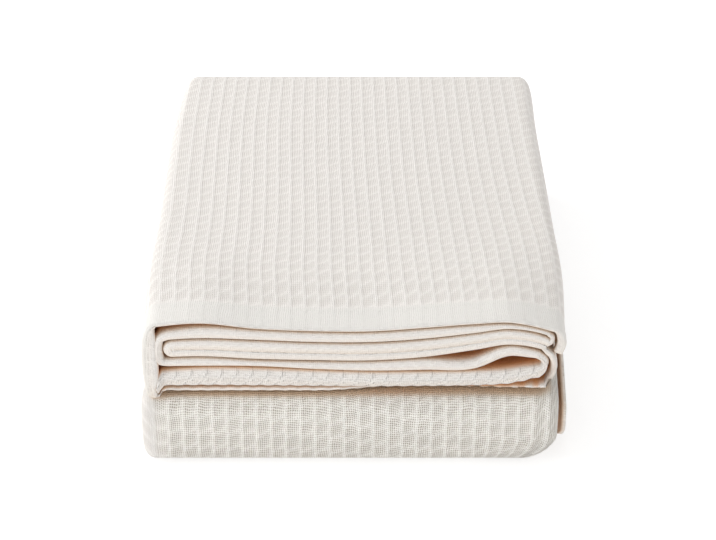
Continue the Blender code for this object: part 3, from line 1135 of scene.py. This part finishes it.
# The front fold: its weave opens, and its colour is painted lighter, as if lit more.
mark("front", front_share * outward * in_front)
mark("sewn", outward * (1 - front_share))
mark("turned", fade(run - PLAIN_HEM, 0.003) * outward)
# Painted shade: a warm colour on the downward-facing cloth near each lip's edge.
mark("lip_edge_shade", downwards * fade(run, RIM_SHADE_DEPTH) * 0.5)
print("marked", len(run), "points")

# %% [markdown]
# ## Starting the finish
#
# Unbleached cotton is a warm off-white, and its yarns are thick and soft.  A photo of cloth
# could be laid on, but a finish that is worked out from the weave map stays sharp from near
# by, and its yarns follow the folds.  The helpers here add one node each.  A value that
# varies over the cloth can then be written in a sum, as a number can.

# %% Helpers for the finish
cotton = bpy.data.materials.new("ivory_cotton")
cotton.use_nodes = True
nodes, links = cotton.node_tree.nodes, cotton.node_tree.links
surface = nodes["Principled BSDF"]


class Varying:
    """A value that varies over the cloth.  Sums with it add the nodes that work them out."""

    def __init__(self, socket):
        self.socket = socket

    def __add__(self, other):
        return maths("ADD", self, other)

    def __sub__(self, other):
        return maths("SUBTRACT", self, other)

    def __rsub__(self, other):
        return maths("SUBTRACT", other, self)

    def __mul__(self, other):
        return maths("MULTIPLY", self, other)

    def __truediv__(self, other):
        return maths("DIVIDE", self, other)


def join(value, socket):
    if isinstance(value, Varying):
        links.new(value.socket, socket)
    else:
        socket.default_value = value


def maths(operation, *values):
    node = nodes.new("ShaderNodeMath")
    node.operation = operation
    for socket, value in zip(node.inputs, values):
        join(value, socket)
    return Varying(node.outputs[0])


def attribute(name):
    node = nodes.new("ShaderNodeAttribute")
    node.attribute_name = name
    return Varying(node.outputs["Fac"])


def three_parts(vector):
    node = nodes.new("ShaderNodeSeparateXYZ")
    join(vector, node.inputs[0])
    return [Varying(socket) for socket in node.outputs]


print("started the finish", cotton.name)

# %% [markdown]
# ## Ribs and basins in the finish
#
# The relief of the mesh is soft, so the finish knows the cells as well.  It reads the weave
# map through the same two profiles, so its ribs lie on the ribs of the mesh.  A colour ramp
# is an easy way to draw a profile.

# %% Ribs and basins
CELL_BUMP = 0.12
LIP_BUMP = 1.7


def curve(value, profile):
    """One minus a height profile, as a colour ramp over 0 to 1."""
    node = nodes.new("ShaderNodeValToRGB")
    join(value, node.inputs[0])
    stops = node.color_ramp.elements
    while len(stops) < len(profile):
        stops.new(0.5)
    for stop, (at, height) in zip(stops, profile):
        stop.position = at
        stop.color = (1 - height, 1 - height, 1 - height, 1)
    return Varying(node.outputs["Color"])


weave_node = nodes.new("ShaderNodeUVMap")
weave_node.uv_map = "weave"
across_cloth, along_cloth, _ = three_parts(Varying(weave_node.outputs["UV"]))
cells, rows = across_cloth / CELL, along_cloth / ROW
in_cell = maths("FRACT", cells + attribute("slant"))
in_row = maths("FRACT", rows - in_cell * ROW_LEAN + LEAN_START * ROW_LEAN)
low_across = curve(in_cell, RIB_PROFILE)
low_along = curve(in_row, ROW_PROFILE)
waffled = 1.0 - attribute("plain")
in_rows = maths("MINIMUM", low_across / RIB_WALL, 1.0) * low_along * ROW_SHARE
low = (low_across * (1 - ROW_SHARE) + in_rows) * waffled
low_bump = low * (attribute("lip") * LIP_BUMP + CELL_BUMP)
print("the finish reads", len(RIB_PROFILE), "heights across a cell")

# %% [markdown]
# ## Yarns
#
# The cloth is a plain weave, with about seven yarns to a cell each way, and a small dark
# hole between every four crossings.  A sine wave each way gives round yarns, and their
# product says which one is on top.  Some noise makes them wander, as spun cotton does.

# %% Yarns and the holes between them
YARNS_IN_CELL = 7
SLUB_WANDER = 0.09
DRIFT_WANDER = 0.3


def noise(vector, scale, detail):
    node = nodes.new("ShaderNodeTexNoise")
    join(vector, node.inputs["Vector"])
    node.inputs["Scale"].default_value = scale
    node.inputs["Detail"].default_value = detail
    return Varying(node.outputs["Fac"])


in_room = Varying(nodes.new("ShaderNodeTexCoord").outputs["Object"])
fuzz = noise(in_room, 1500.0, 3.0)
slub = noise(in_room, 420.0, 2.0)
cloudy = noise(in_room, 22.0, 3.0)
drift = noise(in_room, 55.0, 1.0)
wander = (slub - 0.5) * SLUB_WANDER + drift * DRIFT_WANDER
warp = maths("SINE", (cells + wander) * (math.pi * YARNS_IN_CELL))
weft = maths("SINE", (rows + wander) * (math.pi * YARNS_IN_CELL))
warp_round, weft_round = maths("ABSOLUTE", warp), maths("ABSOLUTE", weft)
which_is_over = warp * weft * 0.5
yarns = (warp_round + weft_round) * 0.5 + which_is_over * (warp_round - weft_round)
# The weave is more open in a basin, and most of all where the front fold stretches it.
front = attribute("front")
open_weave = (low * 0.45 + 0.16) * (waffled + 0.35) * (front * 2.4 + 0.8)
hole = (1.0 - warp_round) * (1.0 - weft_round) * open_weave
print("a yarn is", round(CELL / YARNS_IN_CELL * 1000, 2), "mm wide")

# %% [markdown]
# ## The line of stitches
#
# A hem is turned double and sewn down near its inner edge.  The stitches are made in the
# bump: a narrow band at one distance from the cloth's end, cut into dashes by a sine wave.

# %% Stitches
STITCH_LINE = 0.0245
STITCH_WIDE = 0.0008
STITCH_LONG = 0.0042
STITCH_HEIGHT = 0.4

from_line = maths("ABSOLUTE", along_cloth - STITCH_LINE)
on_line = maths("MAXIMUM", 1.0 - from_line / STITCH_WIDE, 0.0)
dash = maths("SINE", across_cloth * (2 * math.pi / STITCH_LONG)) + 0.5
dash = maths("MINIMUM", maths("MAXIMUM", dash, 0.0), 1.0)
stitch = on_line * dash * (attribute("sewn") * STITCH_HEIGHT)
print("stitches", STITCH_LONG * 1000, "mm long")

# %% [markdown]
# ## Shade between the layers
#
# Light that gets in between two folds of cream cotton comes out warm.  Few bounces of light
# reach in there in a render, so this warm shade is painted in: the finish finds narrow
# places with an occlusion node, and the mark called hidden colours the inner layers.

# %% Crevices
CREVICE_REACH = 0.011
OPEN_SHARE = 0.72
FRONT_OPEN_SHARE = 0.14

crevice = nodes.new("ShaderNodeAmbientOcclusion")
crevice.samples = 8
crevice.only_local = True
crevice.inputs["Distance"].default_value = CREVICE_REACH
# Painted shade: the less open a place is, the more of the crevice colour it gets.
deep = (front * FRONT_OPEN_SHARE + OPEN_SHARE - Varying(crevice.outputs["AO"])) * (front + 1.5)
deep = maths("MINIMUM", maths("MAXIMUM", deep, 0.0), 1.0)
print("a crevice is looked for within", CREVICE_REACH * 1000, "mm")

# %% [markdown]
# ## Colour
#
# The ivory is laid on first, and each later line mixes one more colour in where its share
# says.  Thin bright lines on the ribs are a painted highlight, and the basins get painted
# shade.  The front fold is painted lighter than the top, as if lit more, and painted darker
# towards the floor, as if shaded there.

# %% Colour of the cotton
IVORY = (0.80, 0.77, 0.738, 1)
CLOUDS = (0.86, 0.80, 0.74, 1)
# Painted light: the front fold is coloured lighter than the top, as if it were lit more.
FRONT_FOLD_PAINTED_LIGHT = (0.975, 0.95, 0.887, 1)
# Painted shade: the front fold's colour darkens towards the floor.
FOOT_PAINTED_SHADE = (0.64, 0.61, 0.56, 1)
FOOT_SHADE_HEIGHT = 0.036
# Painted shade in the basins of the cells.
BASIN_PAINTED_SHADE = (0.56, 0.52, 0.48, 1)
# Painted highlight: thin bright lines on the ribs and rows.
CREST_PAINTED_HIGHLIGHT = (1.0, 0.98, 0.94, 1)
# Where the thin painted highlights on the ribs and rows are not, in shares of a cell.
RIB_LINE = ((0, 0.4), (0.06, 0), (0.11, 0.1), (0.18, 1), (0.88, 1), (1, 0.4))
ROW_LINE = ((0, 0), (0.08, 0.3), (0.16, 1), (0.86, 1), (0.94, 0.3), (1, 0))
TURNED_HEM = (0.755, 0.735, 0.70, 1)
BETWEEN_YARNS = (0.30, 0.24, 0.18, 1)
# Painted warm shade on the lower, downward-facing edge of each lip.
RIM_PAINTED_SHADE = (0.86, 0.70, 0.54, 1)
# Painted warm shade in the narrow places between layers.
CREVICE_PAINTED_SHADE = (0.66, 0.49, 0.34, 1)
# Painted warm shade on the inner layers, between the others.
FOLD_GAP_PAINTED_SHADE = (0.84, 0.45, 0.20, 1)


def mix(share, first, second):
    node = nodes.new("ShaderNodeMix")
    node.data_type = "RGBA"
    join(share, node.inputs["Factor"])
    join(first, node.inputs[6])
    join(second, node.inputs[7])
    return Varying(node.outputs[2])


above_floor = three_parts(in_room)[2]
# Painted shade: darker towards the floor on the front fold.
foot_shade = maths("MAXIMUM", 1.0 - above_floor / FOOT_SHADE_HEIGHT, 0.0) * (front * 0.45)
# Painted shade: darker beside each rib and in the rows of the basins.
beside_rib = maths("POWER", low_across, 3.0) * 0.05
basins = (beside_rib + in_rows * 0.44) * waffled
# Painted highlights along the ribs and rows, stronger on the front fold.
crest_highlights = (curve(in_cell, RIB_LINE) + curve(in_row, ROW_LINE)) * (front * 0.25 + 0.12) * waffled
colour = mix(cloudy * 0.12, IVORY, CLOUDS)
for share, tint in (
    (front, FRONT_FOLD_PAINTED_LIGHT),
    (foot_shade, FOOT_PAINTED_SHADE),
    (basins, BASIN_PAINTED_SHADE),
    (crest_highlights, CREST_PAINTED_HIGHLIGHT),
    (attribute("turned"), TURNED_HEM),
    (maths("MINIMUM", hole, 1.0), BETWEEN_YARNS),
    (attribute("lip_edge_shade"), RIM_PAINTED_SHADE),
    (deep, CREVICE_PAINTED_SHADE),
    (attribute("hidden"), FOLD_GAP_PAINTED_SHADE),
):
    colour = mix(share, colour, tint)
join(colour, surface.inputs["Base Color"])
print("the colour is mixed with", len(nodes), "nodes")

# %% [markdown]
# ## Bump, gloss and sheen
#
# Cotton is matt, with a faint sheen from the loose fibres.  Three bumps lie on each other,
# from fine to coarse: fuzz and stitches, then yarns, then cells.  They hold what is too
# small for the mesh.

# %% Bump, gloss and sheen
YARN_HEIGHT = 0.8
PLAIN_YARN_LESS = 0.35
FRONT_YARN_MORE = 0.8


def bump(height, distance, normal=None):
    node = nodes.new("ShaderNodeBump")
    node.inputs["Distance"].default_value = distance
    join(height, node.inputs["Height"])
    if normal is not None:
        join(normal, node.inputs["Normal"])
    return Varying(node.outputs["Normal"])


fine = bump(fuzz * 0.3 + stitch, 0.0006)
yarn_height = YARN_HEIGHT - attribute("plain") * PLAIN_YARN_LESS + front * FRONT_YARN_MORE
woven = bump(yarns * yarn_height, 0.0006, fine)
join(bump(low_bump, -0.0008, woven), surface.inputs["Normal"])
surface.inputs["Roughness"].default_value = 0.92
surface.inputs["Specular IOR Level"].default_value = 0.2
surface.inputs["Sheen Weight"].default_value = 0.08
surface.inputs["Sheen Roughness"].default_value = 0.6
mesh.materials.append(cotton)
print("the finish is on", cloth.name)

# %% The cloth in the frame
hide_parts("blanket")
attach(cloth, "root")
print(cloth.name, "replaces the solid")

# %% [markdown]
# ## Floor
#
# The blanket lies on a white studio floor.  A plane is enough.  It glows a little, so that
# it stays white around the stack, as paper does under a bright lamp.

# %% Floor
bpy.ops.mesh.primitive_plane_add(size=12)
floor = bpy.context.object
floor.name = "floor"
white = bpy.data.materials.new("white_floor")
white.use_nodes = True
paper = white.node_tree.nodes["Principled BSDF"]
paper.inputs["Base Color"].default_value = (0.50, 0.50, 0.50, 1)
paper.inputs["Roughness"].default_value = 0.8
paper.inputs["Emission Color"].default_value = (1, 1, 1, 1)
paper.inputs["Emission Strength"].default_value = 0.60
floor.data.materials.append(white)
print("the floor is", floor.dimensions.x, "m wide")

# %% [markdown]
# ## Light
#
# Ribs show best when light grazes them, so the strongest lamp stands low on the left and
# behind.  The others and the pale world only soften its shadows.  All of them are large,
# because a small lamp would draw hard edges on a soft thing.

# %% Light
world = bpy.data.worlds.new("studio")
world.use_nodes = True
sky = world.node_tree.nodes["Background"]
sky.inputs["Color"].default_value = (1, 1, 1, 1)
sky.inputs["Strength"].default_value = 0.76
bpy.context.scene.world = world
LAMPS = (
    # name, where it stands, where it points, size, watts
    ("key", (-1.7, 1.1, 1.5), (0, 0, 0.1), 1.0, 25),
    ("left", (-2.2, -1.1, 0.8), (0, -0.1, 0.08), 0.9, 17),
    ("above", (-0.2, 0.2, 2.0), (0, 0, 0.1), 1.4, 2),
    ("front", (-0.5, -2.2, 2.0), (0, -0.2, 0.06), 1.2, 5.5),
    ("right", (2.0, -1.6, 0.8), (0.1, 0, 0.06), 1.0, 4),
)
for name, at, towards, size, watts in LAMPS:
    lamp = bpy.data.lights.new(name, "AREA")
    lamp.size, lamp.energy = size, watts
    lamp_object = bpy.data.objects.new(name, lamp)
    lamp_object.location = at
    aim = Vector(np.array(towards) - np.array(at))
    lamp_object.rotation_euler = aim.to_track_quat("-Z", "Y").to_euler()
    bpy.context.scene.collection.objects.link(lamp_object)
print(len(LAMPS), "soft lamps")

# %% [markdown]
# ## Camera
#
# The camera looks down at thirty degrees from the front.  A long lens from some way off
# keeps the stack's sides nearly parallel.

# %% Camera
camera = bpy.data.objects.new("camera", bpy.data.cameras.new("camera"))
camera.location = (0.0014, -1.40779, 0.84727)
camera.rotation_euler = (math.radians(60), 0, 0)
camera.data.sensor_width = 36
camera.data.lens = 97.09
bpy.context.scene.collection.objects.link(camera)
bpy.context.scene.camera = camera
bpy.context.scene.view_settings.view_transform = "Standard"
print("a lens of", camera.data.lens, "mm")
